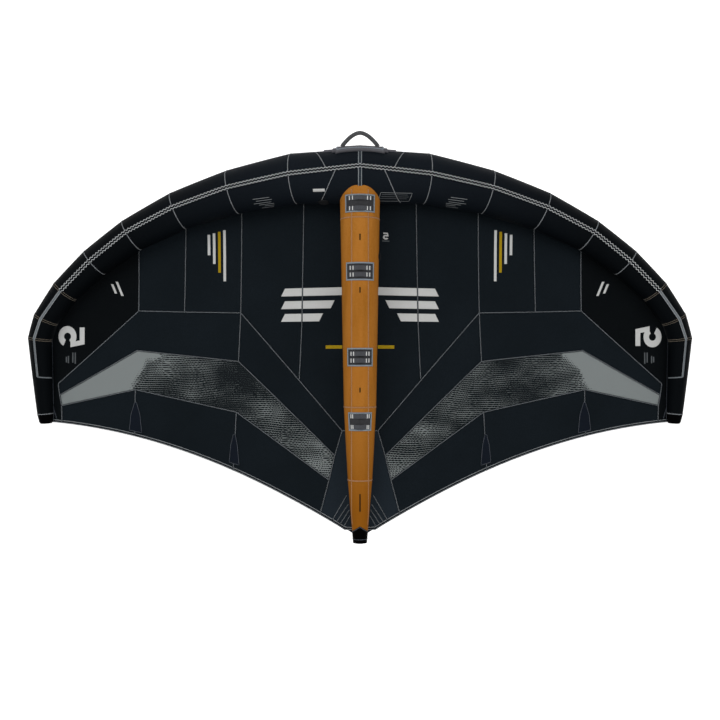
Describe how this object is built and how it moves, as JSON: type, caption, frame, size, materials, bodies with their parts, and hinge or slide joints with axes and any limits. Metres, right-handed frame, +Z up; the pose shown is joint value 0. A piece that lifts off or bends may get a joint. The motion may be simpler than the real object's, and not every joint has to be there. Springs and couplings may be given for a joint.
{
  "type": "hand-held inflatable wing",
  "caption": "Inflatable hand-held wing for riding a foil board: swept tubular leading edge, central strut with webbing loops, sewn canopy with windows and a front handle that flips over.",
  "frame": {"origin": "on the ground, midway along the span and midway from the tail of the strut to the top of the front handle", "axes": "+X along the span, +Y towards the leading edge, +Z up from the ground to the rider's side, which carries the strut"},
  "size_m": [3.2682, 1.898, 0.4442],
  "materials": {
    "canopy_cloth": "satin ripstop cloth",
    "window_film": "satin film with a reinforcing grid",
    "sleeve_cloth": "matt woven polyester",
    "bladder_film": "smooth film",
    "strut_cloth": "matt woven polyester",
    "cap_plastic": "moulded, slightly glossy",
    "patch_cloth": "heavy matt cloth",
    "webbing": "woven webbing",
    "handle_pad": "quilted pad",
    "grip_rubber": "matt, fine grain",
    "valve_plastic": "moulded"
  },
  "bodies": {
    "root": {"canopy_band_inner": "canopy_cloth", "canopy_band_outer": "canopy_cloth", "canopy_front_centre": "canopy_cloth", "canopy_inner": "canopy_cloth", "canopy_mid": "canopy_cloth", "canopy_outer": "canopy_cloth", "canopy_rear_centre": "canopy_cloth", "canopy_rear_inner": "canopy_cloth", "canopy_rear_mid": "canopy_cloth", "canopy_rear_outer": "canopy_cloth", "canopy_tip": "canopy_cloth", "front_handle_base": "handle_pad", "handle_loops_1": "webbing", "handle_loops_2": "webbing", "handle_loops_3": "webbing", "handle_loops_4": "webbing", "handle_patches": "patch_cloth", "inflation_valve": "valve_plastic", "le_bladder": "bladder_film", "le_panel_1": "sleeve_cloth", "le_panel_2": "sleeve_cloth", "le_panel_3": "sleeve_cloth", "le_panel_4": "sleeve_cloth", "le_panel_5": "sleeve_cloth", "le_panel_6": "sleeve_cloth", "le_panel_7": "sleeve_cloth", "le_panel_8": "sleeve_cloth", "le_panel_9": "sleeve_cloth", "strut_bladder": "bladder_film", "strut_front": "strut_cloth", "strut_head": "strut_cloth", "strut_rear": "strut_cloth", "strut_tail": "strut_cloth", "strut_valve": "valve_plastic", "tail_cap": "cap_plastic", "tip_caps": "cap_plastic", "window": "window_film"},
    "front_handle": {"front_handle_grip": "grip_rubber"},
    "inflation_cap": {"inflation_valve_cap": "valve_plastic"},
    "strut_cap": {"strut_valve_cap": "valve_plastic"}
  },
  "joints": [
    {"name": "front_handle_flip", "type": "hinge", "parent": "root", "child": "front_handle", "pos_m": [0, 0.89013, 0.30234], "axis": [1, 0, 0], "range_deg": [-70, 70]},
    {"name": "inflation_cap_turn", "type": "hinge", "parent": "root", "child": "inflation_cap", "pos_m": [-0.17025, 0.63057, 0.26808], "axis": [-0.0432, -0.9659, 0.2552], "range_deg": [0, 90]},
    {"name": "strut_cap_turn", "type": "hinge", "parent": "root", "child": "strut_cap", "pos_m": [0.08758, 0.366, 0.30373], "axis": [1, 0, 0], "range_deg": [0, 90]}
  ]
}
